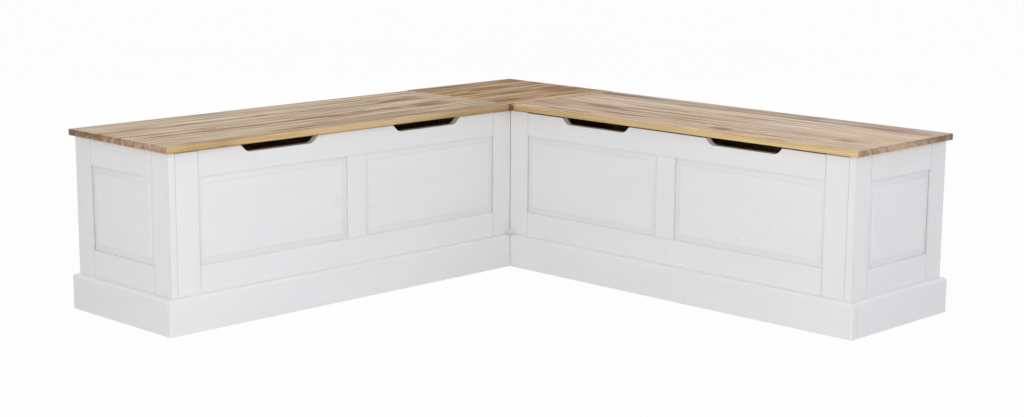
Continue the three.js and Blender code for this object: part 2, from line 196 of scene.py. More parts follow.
growth = {
    "pithShift": 0.13,  # the span across a board in which its pith lies, in m
    "pithDepth": (0.07, 0.035),  # and under its face, the spread and the least
    "drift": (1.5, 3.5, 3.5),  # stretch of the pith's wander
    "tremble": (9.0, 60.0, 60.0),
    "trembleDepth": 0.9,  # in rings
    "onset": (0.25, 0.86),  # the part of a year in which latewood sets in
    "stop": (0.93, 1.0),  # and in which it ends
    "yearPace": 0.33,  # how fast good and lean years follow each other
    "yearCut": (0.36, 0.64),
    "toneShares": (0.5, 0.3, 0.2),  # of the bands of years, the single year and the board
}


def ringsGroup(look):  # growth rings as cylinders round a wandering pith, so faces, edges and ends agree
    takes = {"Point": None, "Seed": 0.0, "Spacing": 0.0034, "Wander": 0.02, "Bend": 0.0}
    tree, given, wanted = startGroup("Pine growth rings", takes, ("Latewood", "Ring Tone"))
    point, seed = given["Point"], given["Seed"]
    across, through = split(point)[1:]
    draw = makeNode(tree, "ShaderNodeTexWhiteNoise", None, seed, noise_dimensions="1D")
    shiftDraw, depthDraw, toneDraw = split(draw.outputs["Color"])
    pithShift = timesPlus(shiftDraw, look["pithShift"], -look["pithShift"] / 2)
    pithDepth = timesPlus(depthDraw, *look["pithDepth"])

    drift = noisy(point, look["drift"], seed, detail=1.5, colour=True)
    drift = scaled(vectorCalc("SUBTRACT", drift, (0.5, 0.5, 0.5)), given["Wander"])
    driftX, driftY, driftZ = split(drift)
    sideways = timesPlus(driftX, 2.0, minus(across, pithShift))
    downwards = plus(minus(pithDepth, through), driftY)
    spread = root(squaresSum(sideways, downwards))
    spread = plus(spread, plus(given["Bend"], driftZ))
    tremble = noisy(point, look["tremble"], seed)
    rings = timesPlus(tremble, look["trembleDepth"], over(spread, given["Spacing"]))
    phase = fraction(rings)
    latewood = times(ramped(phase, *look["onset"]), faded(phase, *look["stop"]))

    ring = gathered(floored(rings), seed)
    year = makeNode(tree, "ShaderNodeTexWhiteNoise", ring, noise_dimensions="2D")
    pace = timesPlus(rings, look["yearPace"], times(seed, 17.3))  # good and lean years come in bands
    years = makeNode(tree, "ShaderNodeTexNoise", None, pace, 1.0, 1.0, noise_dimensions="1D")
    bandShare, yearShare, boardShare = look["toneShares"]
    tone = ramped(years.outputs["Fac"], *look["yearCut"], 0.0, bandShare)
    tone = timesPlus(year.outputs["Value"], yearShare, tone)
    feed(wanted["Latewood"], latewood)
    feed(wanted["Ring Tone"], timesPlus(toneDraw, boardShare, tone))
    return tree


fibrePattern = {
    "Fibre": {"stretch": (14.0, 520.0, 520.0), "detail": 3.0, "roughness": 0.6, "cut": (0.34, 0.68)},
    "Pores": {"stretch": (40.0, 1500.0, 1500.0), "detail": 1.0, "roughness": 0.5, "cut": (0.62, 0.74)},
    "Blotch": {"stretch": (3.2, 14.0, 14.0), "detail": 2.5, "roughness": 0.5, "cut": (0.3, 0.7)},
}
handlingPattern = {  # faint smudges, so that no gloss is even
    "Smudge": {"stretch": (7.0, 7.0, 7.0), "detail": 3.0, "roughness": 0.6, "cut": (0.35, 0.7)},
}


def patternGroup(name, pattern):  # one mask for each kind of noise in the pattern
    tree, given, wanted = startGroup(name, {"Point": None, "Seed": 0.0}, pattern)
    for mask, look in pattern.items():
        noise = noisy(given["Point"], look["stretch"], given["Seed"], look["detail"], look["roughness"])
        feed(wanted[mask], ramped(noise, *look["cut"]))
    return tree


strayKnot = {
    "cells": (3.1, 8.5, 0.0),  # places for a knot in a metre, along and across
    "randomness": 0.75,
    "toMetres": (0.24, 0.118, 0.0),  # knots are longer than wide
    "radius": (0.005, 0.004),  # the spread and the least, in m
    "core": (0.75, 1.05),  # in radii
    "rimWidth": 0.3,
    "swell": -0.18,  # how soon the rings straighten again
    "bend": 0.011,
}


def strayKnotsGroup(look):  # a small knot here and there, about one to a long board
    takes = {"Point": None, "Seed": 0.0, "Share": 0.3}
    tree, given, wanted = startGroup("Stray knots", takes, ("Core", "Rim", "Bend"))
    flat = vectorCalc("MULTIPLY", given["Point"], look["cells"])
    seed = times(given["Seed"], 3.0)
    cells = makeNode(tree, "ShaderNodeTexVoronoi", flat, seed, 1.0, voronoi_dimensions="4D", feature="F1")
    cells.inputs["Randomness"].default_value = look["randomness"]
    apart = vectorCalc("SUBTRACT", flat, cells.outputs["Position"])
    apart = vectorCalc("MULTIPLY", apart, look["toMetres"])
    distance = vectorCalc("LENGTH", apart, output="Value")
    draw, size = split(cells.outputs["Color"])[:2]
    chosen = below(draw, given["Share"])
    share = over(distance, timesPlus(size, *look["radius"]))
    core = faded(share, *look["core"])
    rim = faded(absolute(minus(share, look["core"][1])), 0.0, look["rimWidth"])
    swell = exponent(times(power(share, 2.0), look["swell"]))
    feed(wanted["Core"], times(core, chosen))
    feed(wanted["Rim"], times(rim, chosen))
    feed(wanted["Bend"], times(times(swell, chosen), look["bend"]))
    return tree


topKnot = {
    "ragged": (90.0, 90.0, 0.0),
    "raggedDepth": (0.5, 0.75),
    "core": (0.6, 1.1),  # in radii
    "rimWidth": 0.45,
    "swell": -0.12,
    "bend": 0.013,
}


def placedKnotGroup(look):  # a knot at a place on a top
    takes = {"Point": None, "Centre": None, "Radius": 0.008, "Stretch": 1.6}
    tree, given, wanted = startGroup("Placed knot", takes, ("Core", "Rim", "Bend"))
    along, across = split(vectorCalc("SUBTRACT", given["Point"], given["Centre"]))[:2]
    ragged = timesPlus(noisy(given["Point"], look["ragged"]), *look["raggedDepth"])
    distance = root(squaresSum(over(along, given["Stretch"]), across))
    share = times(over(distance, given["Radius"]), ragged)
    swell = exponent(times(power(share, 2.0), look["swell"]))
    feed(wanted["Core"], faded(share, *look["core"]))
    fromRim = absolute(minus(share, look["core"][1]))
    feed(wanted["Rim"], faded(fromRim, 0.0, look["rimWidth"]))
    feed(wanted["Bend"], times(swell, look["bend"]))
    return tree


coveredKnot = {"ragged": (110.0, 110.0, 110.0), "raggedDepth": (0.9, 0.55), "core": (0.3, 1.2)}


def paintedKnotGroup(look):  # a knot under paint, at a place on the bench, through the board's thickness
    takes = {"Point": None, "Centre": None, "Flat": None, "Radius": 0.008}
    tree, given, wanted = startGroup("Knot under paint", takes, ["Shade"])
    apart = vectorCalc("SUBTRACT", given["Point"], given["Centre"])
    apart = vectorCalc("MULTIPLY", apart, given["Flat"])
    distance = vectorCalc("LENGTH", apart, output="Value")
    ragged = timesPlus(noisy(given["Point"], look["ragged"]), *look["raggedDepth"])
    share = times(over(distance, given["Radius"]), ragged)
    feed(wanted["Shade"], faded(share, *look["core"]))
    return tree


plume = {
    "sway": (5.0, 0.0, 0.0),
    "swayDepth": 0.024,  # in m, from side to side
    "lines": (6.0, 100.0, 0.0),
    "lineDepth": (6.0, -2.0),  # how strongly the lines break the plume up
    "falloff": -1.1,
    "gain": 3.0,
    "slimness": 0.85,  # of the half widths in the lists below
}


def streakGroup(look):  # a long plume of resin-rich wood, or of pale wood, and in a few places a painted gap shadow
    takes = {"Point": None, "Centre": None, "Length": 0.2, "Width": 0.012}
    tree, given, wanted = startGroup("Grain streak", takes, ["Streak"])
    along, across = split(vectorCalc("SUBTRACT", given["Point"], given["Centre"]))[:2]
    sway = timesPlus(noisy(given["Point"], look["sway"]), look["swayDepth"], -look["swayDepth"] / 2)
    lines = noisy(given["Point"], look["lines"], detail=3.0)
    ragged = timesPlus(lines, *look["lineDepth"])
    lengthways = over(along, given["Length"])
    sideways = over(plus(across, sway), given["Width"])
    falloff = exponent(times(squaresSum(lengthways, sideways), look["falloff"]))
    feed(wanted["Streak"], times(times(falloff, look["gain"]), ragged, clamp=True))
    return tree


crevice = {  # painted shade in joints and reveals; in m, but for the stretch
    "lip": 0.0004,  # a joint's darkest part
    "uneven": (22.0, 60.0, 60.0),
    "reach": (0.0016, 0.0012),  # how far the shade goes, the spread and the least
    # the painted shadow of the gap under the lid, from the rail's upper edge down
    "lidGapEdge": (0.0012, 0.0028),
    "fieldEdge": 0.0004,
    "stepWidth": 0.0016,
}


def creviceShadeGroup(look):  # dark joint lines, with painted shade in reveals, along edges, round a panel's field and under the lid's edge
    takes = {"Point": None, "Half Size": None, "Shares": None, "Field Inset": 0.02}
    tree, given, wanted = startGroup("Painted crevices", takes, ("Crevice", "Slope", "Step", "Top Edge"))
    point, halfSize = given["Point"], given["Half Size"]
    toEnd, toSide = split(vectorCalc("SUBTRACT", halfSize, vectorCalc("ABSOLUTE", point)))[:2]
    toTop = minus(split(halfSize)[1], split(point)[1])
    sideShare, endShare, wall = split(given["Shares"])
    reach = timesPlus(noisy(point, look["uneven"]), *look["reach"])
    side = times(faded(toSide, look["lip"], reach), sideShare)
    end = times(faded(toEnd, look["lip"], reach), endShare)
    feed(wanted["Crevice"], plus(larger(side, end), wall))
    feed(wanted["Top Edge"], faded(toTop, *look["lidGapEdge"]))
    fromField = minus(smaller(toEnd, toSide), given["Field Inset"])
    feed(wanted["Slope"], faded(fromField, -look["fieldEdge"], look["fieldEdge"]))
    feed(wanted["Step"], faded(absolute(fromField), look["fieldEdge"], look["stepWidth"]))
    return tree


growthRings = ringsGroup(growth)
woodFibre = patternGroup("Wood fibre", fibrePattern)
strayKnots = strayKnotsGroup(strayKnot)
placedKnot = placedKnotGroup(topKnot)
paintedKnot = paintedKnotGroup(coveredKnot)
grainStreak = streakGroup(plume)
paintedCreviceShade = creviceShadeGroup(crevice)
handlingMarks = patternGroup("Handling marks", handlingPattern)
print("shared effects built")


# Finishes.


def startFinish(name):
    finish = bpy.data.materials.new(name)
    finish.use_nodes = True
    tree = finish.node_tree
    tree.nodes.clear()
    shader = makeNode(tree, "ShaderNodeBsdfPrincipled")
    makeNode(tree, "ShaderNodeOutputMaterial", shader.outputs[0])
    return finish, tree, shader


def readBoard(tree):  # the place in the grain with the board's seed, then end grain and inner side
    end, inside, seed = split(meshValue(tree, "faceKind"))
    return {"Point": meshValue(tree, "grainPoint"), "Seed": seed}, end, inside


def surface(shader, look, colour, glossMasks, heights):  # the masks and heights count by their shares
    feed(shader.inputs["Base Color"], colour)
    feed(shader.inputs["Roughness"], summed(look["roughness"], look["glossShares"], glossMasks))
    bump = makeNode(shader.id_data, "ShaderNodeBump")
    bump.inputs["Strength"].default_value = look["relief"]
    bump.inputs["Distance"].default_value = look["depth"]
    feed(bump.inputs["Height"], summed(0.0, look["heightShares"], heights))
    feed(shader.inputs["Normal"], bump.outputs["Normal"])


whitePaint = {
    "coat": (0.788, 0.788, 0.793, 1.0),
    "knotBleed": 0.035,  # how much darker a knot shows through
    "grainShow": 0.009,  # how much darker the latewood lines are
    "blotch": 0.022,
    "roughness": 0.46,
    "glossShares": (0.07, 0.05, 0.16),  # of smudges, fibre and the bare inner side
    "brush": (16.0, 700.0, 700.0),
    "relief": 0.07,
    "depth": 0.0006,
    "heightShares": (0.25, 0.5, 0.5),  # of fibre, rings and brush marks
    "knotShare": 0.02,
    "crevice": 0.15,  # how much darker a joint or a reveal is: a dark joint line and painted shade
    "lidGapShade": 0.85,  # and the rail's upper edge, a painted shadow of the gap under the lid
    "slope": 0.0,  # and the bevel round a panel's field, as painted shade
    "step": 0.0,  # and the step at the field's edge, as painted shade
    "fieldInset": 0.0,  # from a panel's hidden edge to its field, in m
    "knots": [  # place on the bench in m, the plane it lies in, radius
        ((-0.375, -0.500, 0.402), (0, 1, 1), 0.011),
        ((-0.375, -0.132, 0.227), (0, 1, 1), 0.009),
        ((-0.375, -0.235, 0.250), (0, 1, 1), 0.022),
        ((0.410, 0.375, 0.187), (1, 0, 1), 0.012),
        ((0.510, 0.375, 0.235), (1, 0, 1), 0.007),
    ],
}
paintedPanel = {
    **whitePaint,
    "coat": (0.79, 0.79, 0.795, 1.0),
    "knotShare": 0.03,
    # painted shade on the bevel round the field and at its step
    "slope": 0.03,
    "step": 0.025,
    "fieldInset": 0.0235,
}
barePine = {
    "earlywood": (0.50, 0.35, 0.185, 1.0),
    "latewood": (0.34, 0.18, 0.068, 1.0),
    "knot": (0.18, 0.08, 0.033, 1.0),
    "ringStrength": (0.5, 0.4),
    "fibreShade": 0.10,
    "yearShade": 0.12,
    "endShade": 0.30,
    "coreShade": 0.8,
    "rimShade": 0.35,
    "roughness": 0.56,
    "glossShares": (0.12,),  # of fibre
    "relief": 0.25,
    "depth": 0.0006,
    "heightShares": (0.5, 0.5),
    "knotShare": 0.35,
}


def pineColour(tree, grain, end, look, knots):
    rings = useGroup(tree, growthRings, **grain, Bend=knots["Bend"])
    fibre = useGroup(tree, woodFibre, **grain)
    strength = times(rings["Latewood"], timesPlus(rings["Ring Tone"], *look["ringStrength"]))
    colour = blended(strength, look["earlywood"], look["latewood"])
    colour = dimmed(colour, fibre["Fibre"], look["fibreShade"])
    colour = dimmed(colour, rings["Ring Tone"], look["yearShade"])
    colour = dimmed(colour, end, look["endShade"])
    colour = blended(times(knots["Core"], look["coreShade"]), colour, look["knot"])
    return dimmed(colour, knots["Rim"], look["rimShade"]), rings, fibre


def paintedPine(name, look, inner):
    finish, tree, shader = startFinish(name)
    grain, end, inside = readBoard(tree)
    point = grain["Point"]
    knots = useGroup(tree, strayKnots, **grain, Share=look["knotShare"])
    bare, rings, fibre = pineColour(tree, grain, end, inner, knots)
    marks = useGroup(tree, handlingMarks, Point=point)
    bleed = knots["Core"]
    place = objectPlace(tree)
    for centre, flat, radius in look["knots"]:
        shade = useGroup(tree, paintedKnot, Point=place, Centre=centre, Flat=flat, Radius=radius)
        bleed = larger(bleed, shade["Shade"])
    paint = dimmed(look["coat"], rings["Latewood"], look["grainShow"])
    paint = dimmed(paint, fibre["Blotch"], look["blotch"])
    paint = dimmed(paint, bleed, look["knotBleed"])
    halfSize = meshValue(tree, "halfSize")
    lidGapRail = split(halfSize)[2]
    shares = meshValue(tree, "creviceShares")
    extents = {"Half Size": halfSize, "Shares": shares, "Field Inset": look["fieldInset"]}
    crevices = useGroup(tree, paintedCreviceShade, Point=point, **extents)
    # dark joint lines and painted shade in reveals and along edges; a negative share paints a highlight
    paint = dimmed(paint, crevices["Crevice"], look["crevice"])
    # a painted shadow of the gap under the lid, along the rail's upper edge
    paint = dimmed(paint, times(crevices["Top Edge"], lidGapRail), look["lidGapShade"])
    # painted shade on the bevel and at the step round a panel's field
    if look["fieldInset"] > 0:
        paint = dimmed(paint, crevices["Slope"], look["slope"])
        paint = dimmed(paint, crevices["Step"], look["step"])
    gloss = (marks["Smudge"], fibre["Fibre"], inside)
    heights = (fibre["Fibre"], rings["Latewood"], noisy(point, look["brush"], grain["Seed"]))
    surface(shader, look, blended(inside, paint, bare), gloss, heights)
    return finish


def planedPine(name, look):
    finish, tree, shader = startFinish(name)
    grain, end = readBoard(tree)[:2]
    knots = useGroup(tree, strayKnots, **grain, Share=look["knotShare"])
    colour, rings, fibre = pineColour(tree, grain, end, look, knots)
    surface(shader, look, colour, (fibre["Fibre"],), (fibre["Fibre"], rings["Latewood"]))
    return finish


frameFinish = paintedPine("White painted pine", whitePaint, barePine)
panelFinish = paintedPine("White painted panel", paintedPanel, barePine)
bareFinish = planedPine("Planed bare pine", barePine)

plywood = {
    "veneer": (0.50, 0.36, 0.21, 1.0),
    "figure": (0.39, 0.25, 0.125, 1.0),
    "crossPly": (0.36, 0.21, 0.10, 1.0),
    "ply": 0.0015,  # thickness of one layer
    "plyStart": 0.1,
    "wave": (2.2, 7.0, 7.0),
    "bands": 13.0,  # figure lines to one rise of the wave
    "bandCut": (0.35, 0.95),
    "figureStrength": 0.55,
    "fibreShade": 0.12,
    "roughness": 0.59,
    "glossShares": (0.14,),
    "relief": 0.2,
    "depth": 0.0005,
    "heightShares": (1.0, 1.0),  # of fibre and pores
}


def plywoodSheet(name, look):
    finish, tree, shader = startFinish(name)
    grain, inside = readBoard(tree)[::2]
    wave = noisy(grain["Point"], look["wave"], grain["Seed"])
    figure = ramped(fraction(times(wave, look["bands"])), *look["bandCut"])
    fibre = useGroup(tree, woodFibre, **grain)
    colour = blended(times(figure, look["figureStrength"]), look["veneer"], look["figure"])
    colour = dimmed(colour, fibre["Fibre"], look["fibreShade"])
    layer = fraction(over(plus(split(grain["Point"])[2], look["plyStart"]), look["ply"] * 2))
    crossed = times(above(layer, 0.5), inside)
    colour = blended(crossed, colour, look["crossPly"])
    surface(shader, look, colour, (fibre["Fibre"],), (fibre["Fibre"], fibre["Pores"]))
    return finish


zincSteel = {
    "bright": (0.62, 0.63, 0.64, 1.0),
    "dull": (0.46, 0.46, 0.46, 1.0),
    "smudges": 3.0,  # how much finer than on wood
    "drawn": (900.0, 900.0, 900.0),
    "roughness": 0.30,
    "glossShares": (0.16, 0.08),  # of smudges and drawing marks
    "relief": 0.08,
    "depth": 0.0002,
    "heightShares": (1.0,),
}
greyFelt = {
    "light": (0.26, 0.25, 0.23, 1.0),
    "dark": (0.13, 0.12, 0.11, 1.0),
    "hairs": (2600.0, 2600.0, 2600.0),
    "hairCut": (0.35, 0.65),
    "sheen": 0.3,
    "roughness": 0.95,
    "glossShares": (-0.1,),
    "relief": 0.6,
    "depth": 0.0003,
    "heightShares": (1.0,),
}


def zincPlate(name, look):
    finish, tree, shader = startFinish(name)
    place = objectPlace(tree)
    smudge = useGroup(tree, handlingMarks, Point=scaled(place, look["smudges"]))["Smudge"]
    drawn = noisy(place, look["drawn"])
    shader.inputs["Metallic"].default_value = 1.0
    surface(shader, look, blended(smudge, look["bright"], look["dull"]), (smudge, drawn), (drawn,))
    return finish


def pressedFelt(name, look):
    finish, tree, shader = startFinish(name)
    hairs = noisy(objectPlace(tree), look["hairs"], detail=3.0, roughness=0.7)
    shader.inputs["Sheen Weight"].default_value = look["sheen"]
    light = ramped(hairs, *look["hairCut"])
    surface(shader, look, blended(light, look["dark"], look["light"]), (hairs,), (hairs,))
    return finish


plywoodFinish = plywoodSheet("Sanded plywood", plywood)
zincFinish = zincPlate("Zinc plated steel", zincSteel)
feltFinish = pressedFelt("Grey felt", greyFelt)

waxedPine = {  # the left lid's, which the other tops change in part
    "earlywood": (0.84, 0.59, 0.305, 1.0),
    "latewood": (0.44, 0.22, 0.07, 1.0),
    "streak": (0.34, 0.125, 0.020, 1.0),
    "pale": (0.92, 0.76, 0.56, 1.0),
    "knot": (0.20, 0.050, 0.012, 1.0),
    "endGrain": (0.79, 0.77, 1.05, 1.0),  # multiplies the colour on end grain
    "endTone": 0.62,  # and stands in there for the stave's own tone
    "topSheenTint": (1.0, 1.10, 1.30, 1.0),  # multiplies the colour on the upper face: its own tone, and in its bluer tint a painted sheen
    "deep": (0.50, 0.38, 0.26, 1.0),  # and in the darker years and bands
    "edge": (0.89, 0.90, 0.87, 1.0),  # and on the long edges
    "tone": (0.8, 0.6),  # brightness from a stave's tone, the gain and the least
    "ringWidth": 0.0036,
    "wander": 0.03,
    "ringStrength": (0.8, 0.16),
    "ringShade": 0.62,
    "figure": (1.7, 40.0, 40.0),  # stretch of darker and paler bands along the grain
    "figureCut": (0.49, 0.61),
    "figureStrength": 0.45,
    "figureShade": 0.16,
    "line": (2.0, 105.0, 40.0),  # stretch of crisp dark and pale lines
    "darkCut": (0.53, 0.58),
    "paleCut": (0.45, 0.40),
    "lines": 0.62,  # how strongly they stand out on the upper face
    "edgeLines": 0.3,  # and their share on the edges
    "edgeGrain": 0.4,  # as the long edges show little grain
    "fibreShade": 0.12,
    "blotch": 0.12,
    "flameShare": 0.8,
    "streakShare": (-0.6, 0.95),  # how much less on end grain, and elsewhere
    "streakRings": 0.6,
    "knotShape": 2.4,  # a knot's length to its width
    "coreShade": 0.9,
    "rimShade": 0.7,
    "glueLine": (0.0, 0.0007),  # from the seam, in m
    "topSkin": 0.0007,  # how far the upper face reaches down, in m
    "seamShade": 0.3,
    "roughness": 0.48,
    "glossShares": (0.08, 0.08, 0.25),  # of fibre, smudges and end grain
    "specular": 0.22,
    "relief": 0.22,
    "depth": 0.0006,
    "heightShares": (0.4, 0.5, -0.6),  # of fibre, rings and glue lines
}
rightPine = {
    **waxedPine,
    # the upper face's tint, in part a painted sheen
    "topSheenTint": (0.98, 1.02, 1.17, 1.0),
    "edge": (0.89, 0.93, 0.91, 1.0),
    "endGrain": (0.875, 0.85, 1.16, 1.0),
    "lines": 0.50,
    "roughness": 0.45,
    "specular": 0.45,
}
cornerPine = {
    **waxedPine,
    # the upper face's tint, in part a painted sheen
    "topSheenTint": (0.97, 0.97, 1.05, 1.0),
    "lines": 0.50,
    "roughness": 0.60,
    "specular": 0.12,
}

# A top's staves run from its rear edge to its front one: front edge in mm, seed, tone.
# Knots are (along, from the rear, radius, depth of colour), streaks and pale flames
# (along, from the rear, half length, half width, strength), all in mm.
rightTop = {
    "staves": [(42, 3, 0.34), (80, 8, 0.30), (180, 5, 0.64), (262, 11, 0.61), (335, 2, 0.66), (420, 7, 0.72)],
    "knots": [(680, 355, 12, 1.2), (1010, 298, 12, 0.9), (285, 112, 12, 0.0)],
    "streaks": [
        # the first two streaks paint shade: a band along the inner end at the seam with the corner top, and the
        # gap where the lids meet
        (3, 210, 7, 400, 1.0), (2, 414, 4, 30, 1.0), (100, 35, 90, 20, 0.9), (620, 40, 150, 22, 0.5),
        (560, 74, 260, 10, 0.7), (990, 62, 90, 24, 0.9), (850, 20, 150, 14, 0.4), (640, 152, 80, 9, 0.7),
        (520, 222, 230, 9, 0.8), (200, 252, 50, 11, 0.9), (400, 268, 150, 8, 0.8), (330, 326, 80, 12, 1.0),
        (560, 300, 170, 8, 0.5), (175, 374, 65, 16, 1.0), (900, 362, 140, 8, 0.7), (55, 320, 55, 40, 0.35),
    ],
    "flames": [
        (285, 118, 45, 22, 0.9), (140, 150, 150, 50, 0.45), (700, 192, 260, 18, 0.4),
        (900, 120, 200, 14, 0.35), (300, 345, 120, 9, 0.6),
    ],
}
leftTop = {
    "staves": [(85, 4, 0.50), (172, 9, 0.50), (240, 6, 0.61), (330, 1, 0.66), (420, 10, 0.44)],
    "knots": [(637, 132, 8, 0.8), (140, 138, 12, 0.0), (205, 146, 10, 0.0), (300, 250, 10, 0.0)],
    "streaks": [
        # the first streak paints the shadow of the gap where the lids meet
        (2, 414, 4, 30, 1.0), (140, 128, 42, 7, 1.0), (140, 150, 42, 7, 0.9), (205, 146, 34, 12, 1.0),
        (430, 142, 64, 12, 0.8), (985, 136, 150, 10, 1.0), (700, 257, 220, 10, 1.0), (640, 266, 130, 8, 0.7),
        (150, 230, 58, 12, 0.9), (160, 268, 46, 13, 1.0), (305, 250, 32, 12, 0.9), (390, 258, 32, 11, 0.8),
        (460, 272, 50, 10, 0.6), (300, 372, 330, 6, 0.9), (300, 354, 330, 4, 0.6), (690, 374, 80, 8, 0.8),
        (1000, 396, 70, 10, 0.7), (800, 221, 320, 6, 0.6), (1080, 262, 60, 16, 0.5),
    ],
    "flames": [
        (42, 145, 42, 42, 0.7), (345, 256, 34, 14, 0.9), (1050, 192, 120, 18, 0.5),
        (230, 262, 40, 12, 0.7), (600, 190, 200, 16, 0.35),
    ],
}
cornerTop = {
    "staves": [(95, 12, 0.44), (185, 13, 0.49), (275, 6, 0.50), (365, 14, 0.60), (420, 15, 0.70)],
    "knots": [],
    "streaks": [
        (-100, 22, 90, 16, 0.9), (-355, 172, 40, 9, 0.9), (-50, 172, 55, 10, 0.9), (-350, 285, 60, 38, 0.8),
        (-40, 335, 50, 22, 0.7), (-220, 140, 110, 6, 0.6), (-150, 236, 80, 6, 0.5), (-220, 332, 110, 5, 0.5),
        # the last streak paints the shadow of the gap where the lids meet
        (-375, 40, 40, 30, 0.6), (-4, 404, 10, 10, 1.0),
    ],
    "flames": [(-200, 383, 210, 9, 0.7), (-260, 208, 70, 10, 0.4)],
}


def mm(*values):
    return tuple(value / 1000 for value in values)


def staveRamp(tree, across, staves):  # picks the stave: its seed, centre, tone and half width
    reach, seeds, widest = 0.42, 16.0, 0.1  # what 1 stands for along the ramp and in its colours
    ramp = makeNode(tree, "ShaderNodeValToRGB", over(across, reach))
    ramp.color_ramp.interpolation = "CONSTANT"
    elements = ramp.color_ramp.elements
    elements.remove(elements[1])
    start = 0.0
    for stop, seed, tone in staves:
        element = elements.new(start / 1000 / reach) if start > 0 else elements[0]
        element.color = (seed / seeds, (start + stop) / 2000 / reach, tone, (stop - start) / 2000 / widest)
        start = stop
    number, centre, tone = split(ramp.outputs["Color"])
    fromCentre = minus(across, times(centre, reach))
    return times(number, seeds), fromCentre, times(ramp.outputs["Alpha"], widest), tone


def gatheredStreaks(tree, point, streaks):  # adds up the streaks of a list
    total = 0.0
    for place, rear, halfLength, halfWidth, strength in streaks:
        length, width = halfLength / 1000, halfWidth / 1000 * plume["slimness"]
        streak = useGroup(tree, grainStreak, Point=point, Centre=mm(place, rear, 0), Length=length, Width=width)
        total = timesPlus(streak["Streak"], strength, total)
    return smaller(total, 1.0)


def waxedTop(name, look, layout):
    finish, tree, shader = startFinish(name)
    grain, end = readBoard(tree)[:2]
    point = grain["Point"]
    along, across, through = split(point)
    number, fromCentre, halfWidth, tone = staveRamp(tree, across, layout["staves"])
    stave = {"Point": gathered(along, fromCentre, through), "Seed": plus(number, grain["Seed"])}
    seam = faded(minus(halfWidth, absolute(fromCentre)), *look["glueLine"])

    core, rim, bend = 0.0, 0.0, 0.0
    for place, rear, radius, depth in layout["knots"]:
        shape = {"Centre": mm(place, rear, 0), "Radius": radius / 1000, "Stretch": look["knotShape"]}
        knot = useGroup(tree, placedKnot, Point=point, **shape)
        core = timesPlus(knot["Core"], depth, core)
        rim = timesPlus(knot["Rim"], depth, rim)
        bend = plus(knot["Bend"], bend)
    streaks = gatheredStreaks(tree, point, layout["streaks"])
    flames = gatheredStreaks(tree, point, layout["flames"])
    shape = {"Spacing": look["ringWidth"], "Wander": look["wander"], "Bend": bend}
    rings = useGroup(tree, growthRings, **stave, **shape)
    fibre = useGroup(tree, woodFibre, **stave)
    marks = useGroup(tree, handlingMarks, Point=point)
    figure = ramped(noisy(stave["Point"], look["figure"], stave["Seed"], detail=2.5), *look["figureCut"])
    lines = noisy(stave["Point"], look["line"], plus(stave["Seed"], 40.0))

    onTop = below(absolute(through), look["topSkin"])
    shown = larger(larger(onTop, end), look["edgeGrain"])
    strength = timesPlus(rings["Ring Tone"], *look["ringStrength"])
    strength = timesPlus(figure, look["figureStrength"], strength)
    strength = times(strength, timesPlus(streaks, look["streakRings"], 1.0))
    strength = times(rings["Latewood"], times(strength, shown), clamp=True)
    colour = blended(times(flames, look["flameShare"]), look["earlywood"], look["pale"])
    colour = blended(strength, colour, look["latewood"])
    colour = blended(times(streaks, timesPlus(end, *look["streakShare"])), colour, look["streak"])
    colour = dimmed(colour, fibre["Fibre"], look["fibreShade"])
    colour = dimmed(colour, fibre["Blotch"], look["blotch"])
    colour = deepened(colour, times(rings["Ring Tone"], shown), look["ringShade"], look["deep"])
    colour = deepened(colour, figure, look["figureShade"], look["deep"])
    lineShare = times(larger(onTop, look["edgeLines"]), look["lines"])
    colour = deepened(colour, ramped(lines, *look["darkCut"]), lineShare, look["deep"])
    colour = blended(ramped(lines, *look["paleCut"], 0.0, lineShare), colour, look["pale"])
    tone = timesPlus(end, minus(look["endTone"], tone), tone)
    colour = scaled(colour, timesPlus(tone, *look["tone"]))
    if layout["knots"]:
        colour = blended(times(core, look["coreShade"], clamp=True), colour, look["knot"])
        colour = deepened(colour, rim, look["rimShade"], look["deep"])
    colour = dimmed(colour, seam, look["seamShade"])
    # the upper face's bluer tint is in part a painted sheen
    colour = blended(onTop, tinted(colour, look["edge"]), tinted(colour, look["topSheenTint"]))
    colour = blended(end, colour, tinted(colour, look["endGrain"]))
    shader.inputs["Specular IOR Level"].default_value = look["specular"]
    gloss = (fibre["Fibre"], marks["Smudge"], end)
    surface(shader, look, colour, gloss, (fibre["Fibre"], rings["Latewood"], seam))
    return finish


rightTopFinish = waxedTop("Waxed pine, right lid", rightPine, rightTop)
leftTopFinish = waxedTop("Waxed pine, left lid", waxedPine, leftTop)
cornerTopFinish = waxedTop("Waxed pine, corner top", cornerPine, cornerTop)
print("finishes built:", len(bpy.data.materials))


# Modifiers that ready each solid, all angles in radians.

neverSharp = 3.2  # more than any fold has
fittingSharp = math.radians(40)
easedFrom = math.radians(35)
weldReach = 0.00001
squarely = 0.7  # a face looks along a direction when their dot product is more


def weldGroup():  # closes the solid's mesh and shades it smooth up to an angle
    tree, given, wanted = startGroup("Weld and smooth", {"Sharp Angle": neverSharp}, (), "GeometryNodeTree")
    weld = makeNode(tree, "GeometryNodeMergeByDistance", given["Geometry"])
    weld.inputs["Distance"].default_value = weldReach
    smooth = makeNode(tree, "GeometryNodeSetShadeSmooth", weld.outputs[0], domain="FACE")
    fold = makeNode(tree, "GeometryNodeInputMeshEdgeAngle").outputs["Unsigned Angle"]
    test = {"data_type": "FLOAT", "operation": "GREATER_THAN"}
    sharp = makeNode(tree, "FunctionNodeCompare", fold, given["Sharp Angle"], **test)
    crease = makeNode(tree, "GeometryNodeSetShadeSmooth", smooth.outputs[0], sharp.outputs[0], domain="EDGE")
    crease.inputs["Shade Smooth"].default_value = False
    feed(wanted["Geometry"], crease.outputs[0])
    return tree


